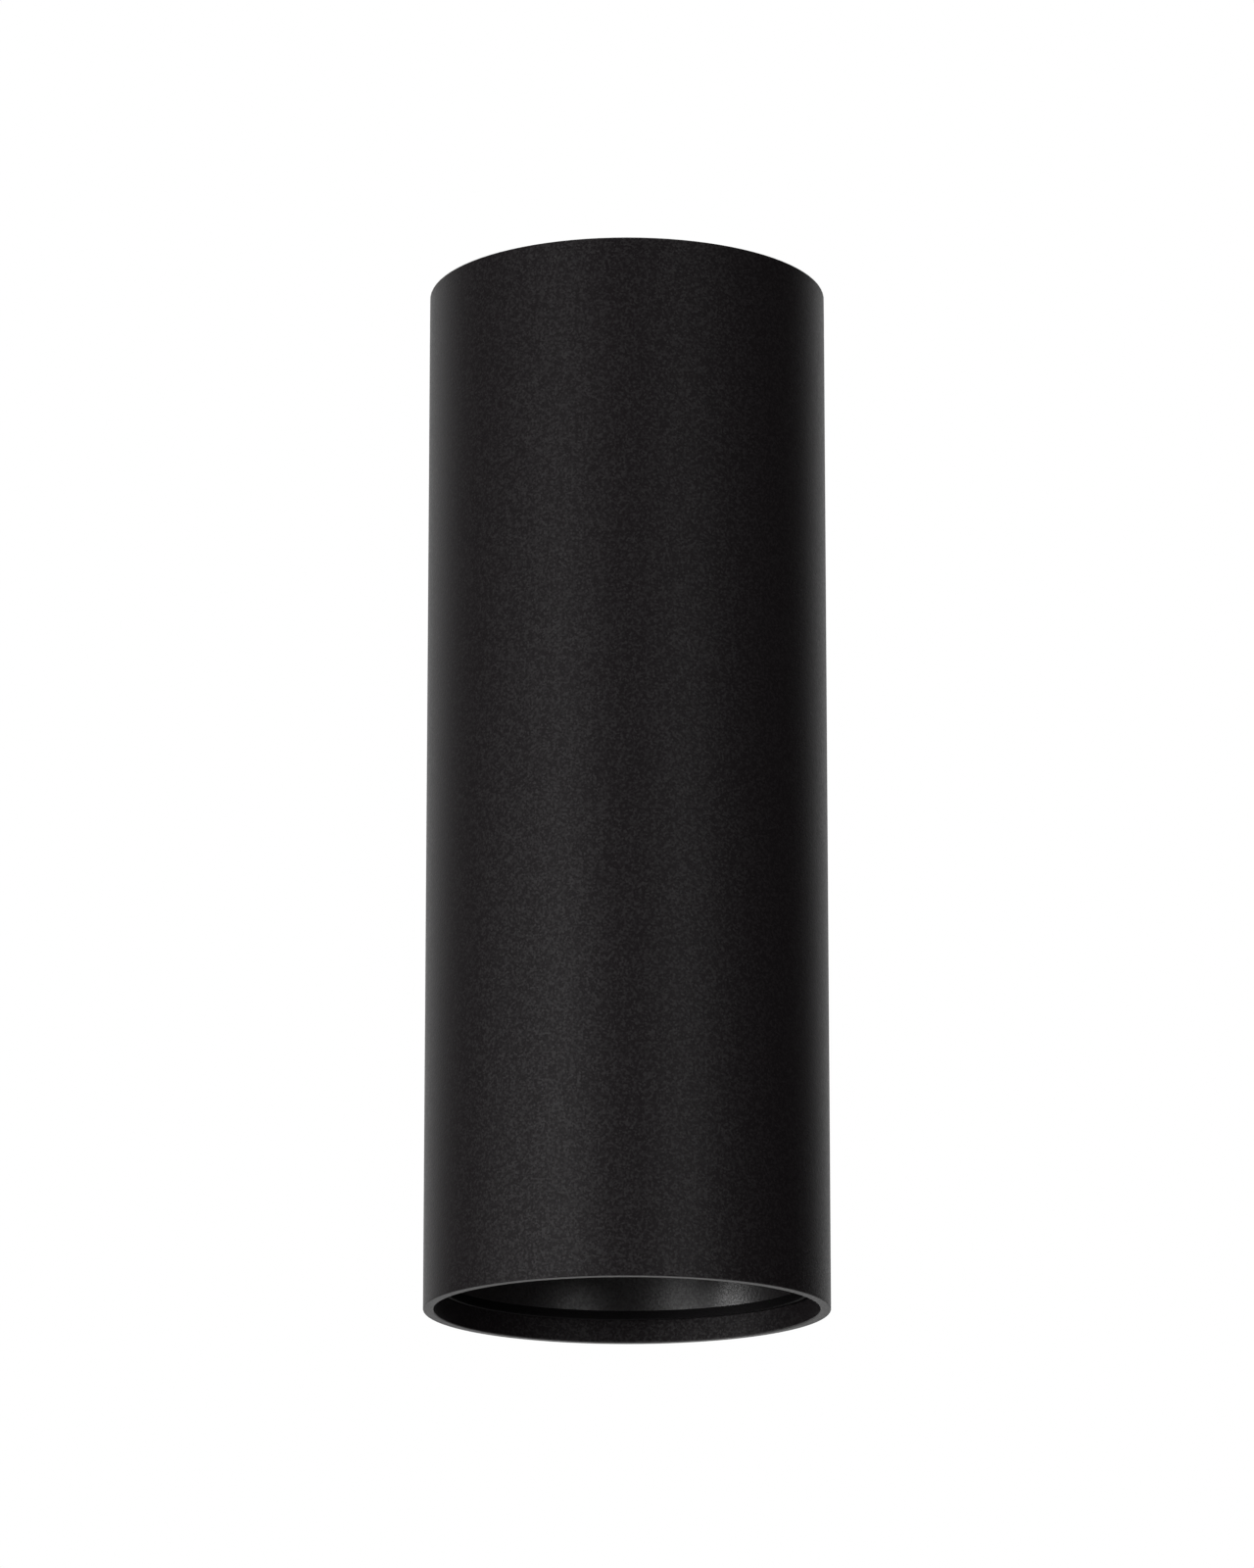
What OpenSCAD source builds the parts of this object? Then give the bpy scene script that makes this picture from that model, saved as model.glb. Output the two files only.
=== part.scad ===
// Ceiling-mounted cylinder downlight: a plain tube with a pressed bracket at its top, and inside it
// the wiring terminal, the driver, the heat sink, the light source and a deep anti-glare reflector.
// Millimetres, +Z up. The origin is the middle of the ceiling bracket, in the plane of the ceiling.

/* [Tube] */
// Outer diameter of the tube
tube_d = 77; // [76:0.5:84]
// Length of the tube, from the ceiling to its lower rim
tube_len = 200; // [192:1:250]
// Wall thickness of the tube
tube_wall = 2; // [1.6:0.1:2.4]
// Rounding of the tube's cut edges and of the reflector's lip
edge_r = 0.25; // [0.1:0.05:0.35]

/* [Ceiling bracket] */
// Thickness of the pressed steel sheet, also of the cradle and the shelf
sheet_t = 1.5; // [1.2:0.1:1.8]
// Depth of the skirt that the tube slides over
skirt_h = 13; // [11:0.5:16]
// Radial gap between the bracket's skirt and the tube's bore
bracket_gap = 0.3; // [0.2:0.05:0.5]
// Distance between the two slots for the ceiling screws
slot_spacing = 50; // [46:1:54]
// Width of a ceiling screw's slot
slot_w = 4.5; // [4:0.1:5.5]
// Length of a ceiling screw's slot, end to end
slot_len = 9; // [7:0.5:10]
// Radius of the dish pressed around the cable hole
dish_r = 13; // [11:0.5:15]
// Depth of that dish
dish_depth = 2.4; // [1.8:0.1:3.5]
// Radius of the cable hole in the sheet
cable_hole_r = 6.5; // [6:0.1:7.5]
// Radius of the way through the rubber grommet
cable_r = 4.5; // [3.5:0.1:5]
// Thickness of each of the grommet's two flanges
grommet_flange_t = 1.2; // [1:0.1:1.6]

/* [Side screws] */
// Thread diameter of the two grub screws that hold the tube
grub_d = 4; // [3:0.5:5]
// Length of a grub screw
grub_len = 7; // [6:0.5:9]
// Distance of the grub screws below the ceiling
grub_drop = 7.5; // [6.5:0.5:9]
// How far a grub screw's outer end lies below the tube's surface
grub_sink = 0.4; // [0.1:0.1:1]
// Radius of a clinch nut
nut_r = 3.6; // [3.4:0.1:4.5]
// Length of a clinch nut
nut_len = 3; // [2:0.2:4]

/* [Anti-glare reflector] */
// Height of the reflector's lip above the tube's rim
lip_inset = 4.1; // [3:0.1:8]
// Height of the lip's upright band
lip_h = 1.85; // [0.8:0.05:3]
// Radial gap between the lip and the tube's bore
lip_gap = 0.4; // [0.3:0.05:0.8]
// Slope of the lip's underside, which rises towards the tube, in degrees off level
lip_slope = 30; // [20:1:32]
// Wall thickness of the bowl
bowl_t = 1.2; // [0.9:0.1:1.6]
// Height of the bowl, from the lip to the neck
bowl_h = 37.5; // [34:0.5:40]
// Slope of the bowl's wall at its mouth, in degrees off upright
bowl_start = 8; // [4:1:14]
// Inner radius of the neck
neck_r = 18.5; // [17:0.5:19]
// Wall thickness of the neck
neck_t = 1.5; // [1.2:0.1:1.8]
// Number of bayonet lugs on the neck
lug_count = 3; // [2:1:3]
// Width of a bayonet lug, in degrees
lug_angle = 20; // [16:1:22]
// Height of a bayonet lug
lug_h = 2.2; // [1.8:0.1:3]
// How far a lug stands out of the neck
lug_reach = 2.2; // [1.6:0.1:2.4]
// Turn that frees the lugs, in degrees
twist = 26; // [26:1:30]

/* [Optics] */
// Distance from the bowl to the carrier's floor, along the neck
carrier_lift = 3.5; // [2.5:0.5:5]
// Thickness of the carrier's floor, which holds the lugs
carrier_floor_t = 2.5; // [2:0.1:3]
// Wall thickness of the carrier
carrier_wall = 2.1; // [1.6:0.1:2.6]
// Width of the step that carries the glass
glass_seat = 2.2; // [1.6:0.1:2.8]
// Radius of the carrier's flange
carrier_flange_r = 33; // [32.5:0.5:34]
// Thickness of the carrier's flange
carrier_flange_t = 2.5; // [2:0.1:3]
// Thickness of the cover glass
glass_t = 2; // [1.6:0.1:3]
// Thickness of the seal between the neck and the glass
seal_t = 0.8; // [0.5:0.1:1.2]
// Thickness of the gasket on the glass
gasket_t = 1.5; // [1:0.1:2]
// Height of the bright inner reflector
optic_h = 9.5; // [8:0.5:12]
// Sheet thickness of the bright inner reflector
optic_t = 0.6; // [0.4:0.1:0.9]

/* [Light source] */
// Side of the square LED board
led_side = 15.8; // [14:0.2:16.4]
// Thickness of the LED board
led_t = 1; // [0.8:0.1:1.2]
// Radius of the yellow emitting disc
emitter_r = 6.5; // [5:0.1:7]
// Thickness of the emitting disc
emitter_t = 0.6; // [0.4:0.1:0.8]
// Thickness of the thermal pad
pad_t = 0.3; // [0.2:0.05:0.5]
// Radius of the LED holder
holder_r = 14; // [13.8:0.1:14.4]
// Thickness of the LED holder
holder_t = 3.5; // [3.2:0.1:4.5]
// Radius of the holder's window
window_r = 7.6; // [7.2:0.1:7.8]

/* [Heat sink] */
// Thickness of the heat sink's base
sink_base_t = 8; // [7:0.5:10]
// Gap that stands for the press fit of the heat sink in the tube
sink_gap = 0.05; // [0.02:0.01:0.1]
// Radius of the core between the fins
core_r = 11; // [10:0.5:12]
// Number of fins
fin_count = 24; // [20:4:28]
// Thickness of a fin
fin_t = 1.4; // [1:0.1:1.6]

/* [Driver] */
// Width of the driver
driver_w = 50; // [48:0.5:52]
// Depth of the driver, its cover included
driver_d = 40; // [38.5:0.5:42]
// Height of the driver
driver_h = 50; // [46:0.5:54]
// Wall thickness of the driver's case
case_t = 1.6; // [1.2:0.1:2]
// Thickness of the circuit board
board_t = 1.6; // [1:0.1:1.8]
// Width of the cradle that the driver stands in
cradle_d = 24; // [20:1:26]
// Room for wiring between the driver and the terminal shelf
wiring_room = 11.5; // [10:0.5:14]

/* [Terminal block] */
// Distance from pole to pole
pole_pitch = 9; // [8.5:0.1:9.5]
// Width of a pole's chamber
chamber_w = 7; // [6.4:0.1:7.4]
// Depth of the block's body, along the wires
block_d = 16; // [14:0.5:18]
// Height of the block, without its buttons
block_h = 13; // [12:0.5:15]
// Wall thickness of the block's top and sides
block_wall = 1.5; // [1.2:0.1:1.8]
// Height of the wire ports above the shelf
port_h = 4.5; // [4.2:0.1:5]
// Side of a square release button
button_w = 4.4; // [4:0.1:4.8]
// How far a release button travels when it is pressed
button_travel = 1.5; // [1:0.1:1.8]
// Free height between the buttons and the grommet
block_clear = 8; // [6:0.5:12]

/* [Wires and screws] */
// Outer diameter of the mains leads
lead_d = 2.2; // [1.8:0.1:2.4]
// Bend radius of the mains leads, to the middle of the wire
lead_bend = 4; // [3.5:0.1:4.5]
// Outer diameter of the leads to the light source
led_lead_d = 1.7; // [1.4:0.1:1.8]
// Thread diameter of the larger machine screws
screw_d = 3; // [2.5:0.1:3.2]
// Thread diameter of the small screws
small_screw_d = 2; // [1.8:0.1:2.2]
// Radial gap between a screw and its hole
screw_gap = 0.05; // [0.03:0.01:0.1]

/* [Hidden] */
$fn = 96;

// Overshoot of a cutting shape past the face that it cuts
cut = 1;
// Running clearance between parts that turn or slide
play = 0.3;
// Small clearance between parts that only fit together
fit = 0.1;
// Room beyond the tip of a screw in a blind hole
tip_room = 0.5;

// Radii that follow from the tube
tube_r = tube_d / 2;
bore_r = tube_r - tube_wall;
bracket_r = bore_r - bracket_gap;
skirt_in_r = bracket_r - sheet_t;
sink_r = bore_r - sink_gap;

// Heights of the reflector, from the tube's rim upwards
rim_z = -tube_len;
lip_z = rim_z + lip_inset;
bowl_z = lip_z + lip_h;
neck_z = bowl_z + bowl_h;

// The bowl's wall is an arc from its mouth to its neck
lip_r = bore_r - lip_gap;
mouth_r = lip_r - bowl_t / cos(bowl_start);
bowl_dr = mouth_r - neck_r;
bowl_end = 2 * atan(bowl_dr / bowl_h) - bowl_start;
bowl_arc_r = norm([bowl_dr, bowl_h]) / (2 * sin((bowl_end - bowl_start) / 2));
bowl_centre = [mouth_r - bowl_arc_r * cos(bowl_start), bowl_z - bowl_arc_r * sin(bowl_start)];

// Heights of the optics and the light source
floor_z = neck_z + carrier_lift;
chamber_z = floor_z + carrier_floor_t;
lug_z = chamber_z + play / 2;
neck_top_z = lug_z + lug_h;
glass_z = neck_top_z + fit + seal_t;
gasket_z = glass_z + glass_t;
optic_z = gasket_z + gasket_t;
holder_z = optic_z + optic_h;
sink_z = holder_z + holder_t;
fins_z = sink_z + sink_base_t;
led_z = sink_z - pad_t - led_t;

// Radii of the optics
neck_out_r = neck_r + neck_t;
lug_r = neck_out_r + lug_reach;
lug_room_r = lug_r + play;
glass_r = lug_room_r + glass_seat - fit;
cavity_r = lug_room_r + glass_seat + fit;
carrier_r = cavity_r + carrier_wall;
lug_pitch = 360 / lug_count;
notch_angle = lug_angle + 4;
stop_angle = 2.5;
stop_gap_angle = 0.5;
stop_angles = [(lug_angle + stop_angle) / 2 + stop_gap_angle,
    -twist - (notch_angle + stop_angle) / 2 - stop_gap_angle];

// Heights of the bracket, the terminal block and the driver, from the ceiling downwards
grommet_z = -dish_depth - sheet_t - grommet_flange_t;
button_proud = button_travel + 0.1;
block_top_z = grommet_z - block_clear - button_proud;
shelf_top_z = block_top_z - block_h;
shelf_z = shelf_top_z - sheet_t;
driver_top_z = shelf_z - wiring_room;
driver_z = driver_top_z - driver_h;
cradle_z = driver_z - sheet_t;
port_z = shelf_top_z + port_h;

// The fins take up what the rest of the column leaves
fin_h = cradle_z - fins_z;

// Screw sizes
screw_r = screw_d / 2;
head_r = screw_d * 0.92;
head_t = screw_d * 0.62;
small_screw_r = small_screw_d / 2;
small_head_r = small_screw_d * 0.95;
small_head_t = small_screw_d * 0.6;
grub_r = grub_d / 2;

// Places of the screws
carrier_screw_r = (carrier_r + carrier_flange_r) / 2;
carrier_screw_len = 8;
holder_screw_in = 2.6;
holder_screw_r = holder_r - holder_screw_in;
holder_screw_len = 7;
holder_seat_t = 1.4;
holder_bite = holder_screw_len - (holder_t - holder_seat_t);
core_screw_x = 6;
cradle_screw_len = 8;
cradle_bite = cradle_screw_len - sheet_t;

// Cradle and driver
cradle_in_x = driver_w / 2 + fit;
cradle_out_x = cradle_in_x + sheet_t;
flange_w = 7.5;
driver_screw_z = driver_z + driver_h / 2;
driver_screw_len = 6;
case_d = driver_d - case_t;
case_back_y = -driver_d / 2;
case_front_y = case_back_y + case_d;
boss_r = 2.4;
boss_x = driver_w / 2 - case_t - boss_r + 0.4;
boss_z = driver_h / 2 - case_t - boss_r + 0.4;
board_gap = 0.7;
board_y = case_front_y - board_gap - board_t;
board_w = driver_w - 2 * case_t - 2 * fit;
board_inset = 3.6;
board_h = driver_h - 2 * board_inset;
board_notch = 6;
board_notch_h = board_notch - board_inset + case_t;
board_ledge = 2;
cover_screw_len = 7;

// Wound parts at the board's -X side: sizes of the transformer's core and bobbin, and the choke
wound_x = -9;
core_size = [17, 15, 5];
bobbin_size = [12, 14, 17];
choke_drop = 15;
choke_r = 3;
choke_h = 9;
choke_flange_r = 4.2;
choke_flange_t = 1.2;

// Capacitors at the board's +X side: height from the board's middle, radius and length of each
can_x = 9;
cans = [[11, 5.5, 20], [-11, 4.5, 15]];
can_crimp = 0.25;
can_foot = 2;

// Leads to the light source, in the two gaps between fins next to the +Y fin
led_lead_r = board_y + board_t / 2;
led_lead_angles = [90 - 180 / fin_count, 90 + 180 / fin_count];
led_lead_bend = 2;
led_port_z = sink_z - holder_t / 2;
bush_r = led_lead_d / 2 + 0.7;

// Terminal block and shelf
poles_x = [-pole_pitch, 0, pole_pitch];
block_w = 2 * pole_pitch + chamber_w + 2 * block_wall;
ear_w = 4.5;
ear_d = 10;
ear_h = 5;
block_base_t = 1.5;
ear_x = block_w / 2 + ear_w / 2;
shelf_x = cradle_out_x;
shelf_margin = 2.5;
shelf_half_d = block_d / 2 + shelf_margin;
screw_line_in = 2.8;
screw_line_x = cradle_in_x - screw_line_in;
shelf_screw = [screw_line_x, 6];
earth_screw_at = [screw_line_x, -4];
lug_tongue_t = 0.8;
lug_ring_r = 3.3;
barrel_wall = 0.5;
earth_boss_h = port_h - lead_d / 2 - barrel_wall - 0.1;
earth_boss_r = 3.6;
barrel_y = earth_screw_at[1] - lug_ring_r + 0.2;
barrel_len = 2.7;
stem_flange_t = 1.2;
stem_flange_w = button_w + 1.2;
clamp_leaf_t = 0.5;
clamp_tip_h = port_h + lead_d / 2 + 0.1;
clamp_top_h = clamp_tip_h + 1.2;
button_foot_z = shelf_top_z + clamp_top_h + clamp_leaf_t + button_travel + fit;
connector_end_w = 4;
connector_w = pole_pitch + 2 * connector_end_w;
connector_d = 8;
connector_h = 7;
lead_y = -block_d / 2 - 2 - lead_bend;
port_depth = 3;

// A cylinder's shell
module pipe(outer_r, inner_r, height) {
    difference() {
        cylinder(r = outer_r, h = height);
        translate([0, 0, -cut]) cylinder(r = inner_r, h = height + 2 * cut);
    }
}

// A flat rectangle with round corners, made of true arcs
module rounded_rect(width, height, r) {
    translate([r, 0]) square([width - 2 * r, height]);
    translate([0, r]) square([width, height - 2 * r]);
    for (x = [r, width - r], y = [r, height - r]) translate([x, y]) circle(r = r);
}

// A sector of a ring, centred on the angle zero
module ring_sector(outer_r, inner_r, height, angle) {
    rotate([0, 0, -angle / 2]) rotate_extrude(angle = angle)
        translate([inner_r, 0]) square([outer_r - inner_r, height]);
}

// A straight slot that runs along Y
module slot_along_y(width, length, height) {
    for (s = [-1, 1]) translate([0, s * (length - width) / 2, 0]) cylinder(r = width / 2, h = height);
    translate([-width / 2, -(length - width) / 2, 0]) cube([width, length - width, height]);
}

// A pan-head screw that points down, its head's underside at z = 0
module pan_screw(r, length, cap_r, cap_t) {
    difference() {
        union() {
            translate([0, 0, -length]) cylinder(r = r, h = length);
            cylinder(r1 = cap_r, r2 = cap_r * 0.82, h = cap_t);
        }
        translate([0, 0, cap_t * 0.45]) cylinder(r = cap_r * 0.45, h = cap_t, $fn = 6);
    }
}

// A countersunk screw that points down, its flat head's top at z = 0
module countersunk_screw(r, length, cap_r, cap_t) {
    difference() {
        union() {
            translate([0, 0, -length]) cylinder(r = r, h = length - cap_t / 2);
            translate([0, 0, -cap_t]) cylinder(r1 = r, r2 = cap_r, h = cap_t);
        }
        translate([0, 0, -cap_t * 0.5]) cylinder(r = cap_r * 0.45, h = cap_t, $fn = 6);
    }
}

// A straight wire from the origin along +X
module wire_run(d, length) {
    rotate([0, 90, 0]) cylinder(d = d, h = length);
}

// A quarter bend of a wire, from the X direction at the origin into +Y
module wire_bend(d, r) {
    translate([0, r, 0]) rotate([0, 0, -90]) rotate_extrude(angle = 90)
        translate([r, 0]) circle(d = d);
}

// Outer tube, open at both ends, with a hole at each side for a grub screw
module tube_housing() {
    color("#1b1b1d") difference() {
        rotate_extrude($fn = 180) translate([bore_r, rim_z])
            rounded_rect(tube_wall, tube_len, edge_r);
        for (s = [0, 180]) rotate([0, 0, s]) translate([bore_r - cut, 0, -grub_drop])
            wire_run(grub_d + 2 * fit, tube_wall + 2 * cut);
    }
}

// Pressed bracket that is screwed to the ceiling
module ceiling_bracket() {
    color("#c9ccd0") difference() {
        rotate_extrude($fn = 180) polygon([
            [cable_hole_r, -dish_depth], [dish_r, -dish_depth], [dish_r, 0], [bracket_r, 0],
            [bracket_r, -skirt_h], [skirt_in_r, -skirt_h], [skirt_in_r, -sheet_t],
            [dish_r + sheet_t, -sheet_t], [dish_r + sheet_t, -dish_depth - sheet_t],
            [cable_hole_r, -dish_depth - sheet_t]]);
        for (s = [-1, 1]) {
            translate([0, s * slot_spacing / 2, -sheet_t - cut])
                slot_along_y(slot_w, slot_len, sheet_t + 2 * cut);
            rotate([0, 0, 90 - s * 90]) translate([skirt_in_r - cut, 0, -grub_drop])
                wire_run(grub_d + 2 * fit, sheet_t + 2 * cut);
        }
    }
}

// Rubber grommet that grips the edge of the cable hole
module cable_grommet() {
    flange_r = cable_hole_r + 2;
    color("#2a2a2a") rotate_extrude() polygon([
        [cable_r, grommet_z], [flange_r, grommet_z], [flange_r, -dish_depth - sheet_t],
        [cable_hole_r - screw_gap, -dish_depth - sheet_t], [cable_hole_r - screw_gap, -dish_depth],
        [flange_r, -dish_depth], [flange_r, -dish_depth + grommet_flange_t],
        [cable_r, -dish_depth + grommet_flange_t]]);
}

// Threaded nuts pressed to the inside of the bracket's skirt
module clinch_nuts() {
    seat_x = sqrt(pow(skirt_in_r, 2) - pow(nut_r, 2)) - 0.02;
    color("#b8a46a") for (s = [0, 180]) rotate([0, 0, s])
        translate([seat_x - nut_len, 0, -grub_drop]) rotate([0, 90, 0])
            pipe(nut_r, grub_r + screw_gap, nut_len);
}

// Grub screws with a hexagon socket
module side_grub_screws() {
    color("#3a3a3c") for (s = [0, 180]) rotate([0, 0, s])
        translate([tube_r - grub_sink - grub_len, 0, -grub_drop]) rotate([0, 90, 0])
            difference() {
                cylinder(r = grub_r, h = grub_len);
                translate([0, 0, grub_len - grub_r]) cylinder(r = grub_r * 0.55, h = grub_len, $fn = 6);
            }
}

// Finned aluminium heat sink, pressed into the tube
module heatsink() {
    fin_tip = sqrt(pow(sink_r, 2) - pow(fin_t / 2, 2));
    color("#a9adb2") difference() {
        union() {
            translate([0, 0, sink_z]) cylinder(r = sink_r, h = sink_base_t, $fn = 180);
            translate([0, 0, fins_z]) linear_extrude(fin_h) {
                circle(r = core_r);
                for (i = [0:fin_count - 1]) rotate(i * 360 / fin_count)
                    translate([0, -fin_t / 2]) square([fin_tip, fin_t]);
            }
        }
        for (i = [0:2]) rotate([0, 0, 60 + i * 120]) translate([carrier_screw_r, 0, sink_z - cut])
            cylinder(r = screw_r + screw_gap, h = cut + carrier_screw_len - carrier_flange_t + tip_room);
        for (s = [-1, 1]) {
            translate([s * holder_screw_r, 0, sink_z - cut])
                cylinder(r = small_screw_r + screw_gap, h = cut + holder_bite + tip_room);
            translate([s * core_screw_x, 0, cradle_z - cradle_bite - tip_room])
                cylinder(r = screw_r + screw_gap, h = cradle_bite + tip_room + cut);
        }
        for (a = led_lead_angles) rotate([0, 0, a]) translate([led_lead_r, 0, sink_z - cut])
            cylinder(r = bush_r + screw_gap, h = sink_base_t + 2 * cut);
    }
}

// Plastic bushes that line the two holes for the leads
module lead_bushes() {
    color("#e8e4d8") for (a = led_lead_angles) rotate([0, 0, a])
        translate([led_lead_r, 0, sink_z]) pipe(bush_r, led_lead_d / 2 + screw_gap, sink_base_t);
}

// Bent steel cradle that stands on the heat sink and holds the driver
module driver_cradle() {
    wall_h = shelf_z - cradle_z;
    color("#c2c6ca") difference() {
        translate([-cradle_out_x, -cradle_d / 2, cradle_z]) {
            cube([2 * cradle_out_x, cradle_d, sheet_t]);
            for (x = [0, 2 * cradle_out_x - sheet_t]) translate([x, 0, 0])
                cube([sheet_t, cradle_d, wall_h]);
            for (x = [0, 2 * cradle_out_x - sheet_t - flange_w])
                translate([x, 0, wall_h - sheet_t]) cube([flange_w + sheet_t, cradle_d, sheet_t]);
        }
        for (s = [-1, 1]) {
            translate([s * core_screw_x, 0, cradle_z - cut])
                cylinder(r = screw_r + screw_gap, h = sheet_t + 2 * cut);
            translate([s * core_screw_x, 0, cradle_z])
                cylinder(r1 = screw_r + screw_gap, r2 = head_r + screw_gap, h = sheet_t);
            translate([s * shelf_screw[0], shelf_screw[1], shelf_z - sheet_t - cut])
                cylinder(r = screw_r + screw_gap, h = sheet_t + 2 * cut);
            translate([s * (cradle_in_x - cut) - (s < 0 ? sheet_t + 2 * cut : 0), 0, driver_screw_z])
                wire_run(screw_d + 2 * screw_gap, sheet_t + 2 * cut);
        }
        translate([earth_screw_at[0], earth_screw_at[1], shelf_z - sheet_t - cut])
            cylinder(r = screw_r + screw_gap, h = sheet_t + 2 * cut);
    }
}

// Flush screws that hold the cradle to the heat sink's core
module cradle_screws() {
    color("#b9bcc0") for (s = [-1, 1]) translate([s * core_screw_x, 0, cradle_z + sheet_t])
        countersunk_screw(screw_r, cradle_screw_len, head_r, sheet_t);
}

// Driver's case, open at +Y
module driver_case() {
    inner = [driver_w - 2 * case_t, case_d - case_t, driver_h - 2 * case_t];
    color("#e9e9e6") translate([0, 0, driver_z + driver_h / 2]) difference() {
        union() {
            difference() {
                translate([-driver_w / 2, case_back_y, -driver_h / 2]) cube([driver_w, case_d, driver_h]);
                translate([-inner[0] / 2, case_back_y + case_t, -inner[2] / 2])
                    cube([inner[0], inner[1] + cut, inner[2]]);
            }
            for (x = [-boss_x, boss_x], z = [-boss_z, boss_z])
                translate([x, case_front_y, z]) rotate([90, 0, 0])
                    cylinder(r = boss_r, h = case_d - case_t / 2);
            for (s = [0, 180]) rotate([0, 0, s])
                translate([driver_w / 2 - case_t - driver_screw_len + sheet_t, 0, 0])
                    wire_run(2 * screw_d, driver_screw_len - sheet_t + case_t / 2);
            for (x = [-inner[0] / 2, inner[0] / 2 - board_ledge])
                translate([x, board_y - board_ledge, -driver_h / 5])
                    cube([board_ledge, board_ledge, driver_h * 2 / 5]);
        }
        for (x = [-boss_x, boss_x], z = [-boss_z, boss_z])
            translate([x, case_front_y + cut, z]) rotate([90, 0, 0])
                cylinder(r = small_screw_r + screw_gap, h = cover_screw_len - case_t + cut + tip_room);
        for (s = [0, 180]) rotate([0, 0, s]) translate([driver_w / 2 - case_t - driver_screw_len, 0, 0])
            wire_run(screw_d + 2 * screw_gap, driver_screw_len + case_t + cut);
        for (a = led_lead_angles) rotate([0, 0, a]) translate([led_lead_r, 0, -driver_h / 2 - cut])
            cylinder(r = led_lead_d / 2 + fit, h = case_t + 2 * cut);
    }
}

// Driver's cover, with two ribs that press the circuit board onto its ledges
module driver_cover() {
    color("#e9e9e6") translate([0, case_front_y, driver_z + driver_h / 2]) difference() {
        union() {
            translate([-driver_w / 2, 0, -driver_h / 2]) cube([driver_w, case_t, driver_h]);
            for (s = [-1, 1]) translate([s * driver_w / 4 - board_ledge / 2, -board_gap, -driver_h / 5])
                cube([board_ledge, board_gap + case_t / 2, driver_h * 2 / 5]);
        }
        for (x = [-boss_x, boss_x], z = [-boss_z, boss_z]) translate([x, case_t + cut, z])
            rotate([90, 0, 0]) cylinder(r = small_screw_r + screw_gap, h = case_t + 2 * cut);
    }
}

// Four small screws through the driver's cover
module cover_screws() {
    color("#8f9296") for (x = [-boss_x, boss_x], z = [-boss_z, boss_z])
        translate([x, case_front_y + case_t, driver_z + driver_h / 2 + z]) rotate([-90, 0, 0])
            pan_screw(small_screw_r, cover_screw_len, small_head_r, small_head_t);
}

// Two screws through the cradle's walls into the driver's case
module driver_fixing_screws() {
    color("#b9bcc0") for (s = [0, 180]) rotate([0, 0, s])
        translate([cradle_out_x, 0, driver_screw_z]) rotate([0, 90, 0])
            pan_screw(screw_r, driver_screw_len, head_r, head_t);
}

// Circuit board, with its corners cut out for the case's bosses
module driver_board() {
    color("#2f6b3c") translate([0, board_y, driver_z + driver_h / 2]) difference() {
        translate([-board_w / 2, 0, -board_h / 2]) cube([board_w, board_t, board_h]);
        for (x = [-1, 1], z = [-1, 1]) translate([x * board_w / 2, board_t / 2, z * board_h / 2])
            cube([2 * board_notch, board_t + 2 * cut, 2 * board_notch_h], center = true);
    }
}

// Transformer: a ferrite core with its taped winding, standing on the board
module driver_transformer() {
    color("#d8b83c") translate([wound_x, board_y, driver_z + driver_h / 2])
        for (block = [core_size, bobbin_size])
            translate([-block[0] / 2, -block[1], -block[2] / 2]) cube(block);
}

// Two electrolytic capacitors on the board
module driver_capacitors() {
    color("#303a5c") for (c = cans)
        translate([can_x, board_y, driver_z + driver_h / 2 + c[0]]) rotate([90, 0, 0]) {
            cylinder(r = c[1], h = c[2]);
            cylinder(r = c[1] + can_crimp, h = can_foot);
        }
}

// Wound choke on the board
module driver_inductor() {
    color("#9a4b22") translate([wound_x, board_y, driver_z + driver_h / 2 - choke_drop])
        rotate([90, 0, 0]) {
            cylinder(r = choke_r, h = choke_h);
            for (z = [0, choke_h - choke_flange_t]) translate([0, 0, z])
                cylinder(r = choke_flange_r, h = choke_flange_t);
        }
}

// Two-pole connector on top of the driver, which takes the mains leads
module input_connector() {
    color("#f2f2ee") difference() {
        translate([-(pole_pitch + connector_w) / 2, lead_y - connector_d / 2, driver_top_z])
            cube([connector_w, connector_d, connector_h]);
        for (x = [poles_x[0], poles_x[1]]) translate([x, lead_y, driver_top_z + connector_h - port_depth])
            cylinder(d = lead_d + 2 * fit, h = port_depth + cut);
    }
}

// Steel shelf on top of the cradle, with a raised seat for the earth lug
module terminal_shelf() {
    color("#c2c6ca") difference() {
        union() {
            translate([-shelf_x, -shelf_half_d, shelf_z]) cube([2 * shelf_x, 2 * shelf_half_d, sheet_t]);
            translate([earth_screw_at[0], earth_screw_at[1], shelf_z])
                cylinder(r = earth_boss_r, h = sheet_t + earth_boss_h);
        }
        for (s = [-1, 1]) {
            translate([s * shelf_screw[0], shelf_screw[1], shelf_z - cut])
                cylinder(r = screw_r + screw_gap, h = sheet_t + 2 * cut);
            translate([s * ear_x, 0, shelf_z - cut])
                cylinder(r = small_screw_r + screw_gap, h = sheet_t + 2 * cut);
        }
        translate([earth_screw_at[0], earth_screw_at[1], shelf_z - cut])
            cylinder(r = screw_r + screw_gap, h = sheet_t + earth_boss_h + 2 * cut);
    }
}

// Two screws that hold the shelf to the cradle's flanges
module shelf_screws() {
    color("#b9bcc0") for (s = [-1, 1]) translate([s * shelf_screw[0], shelf_screw[1], shelf_top_z])
        pan_screw(screw_r, 2 * sheet_t + tip_room, head_r, head_t);
}

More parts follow.
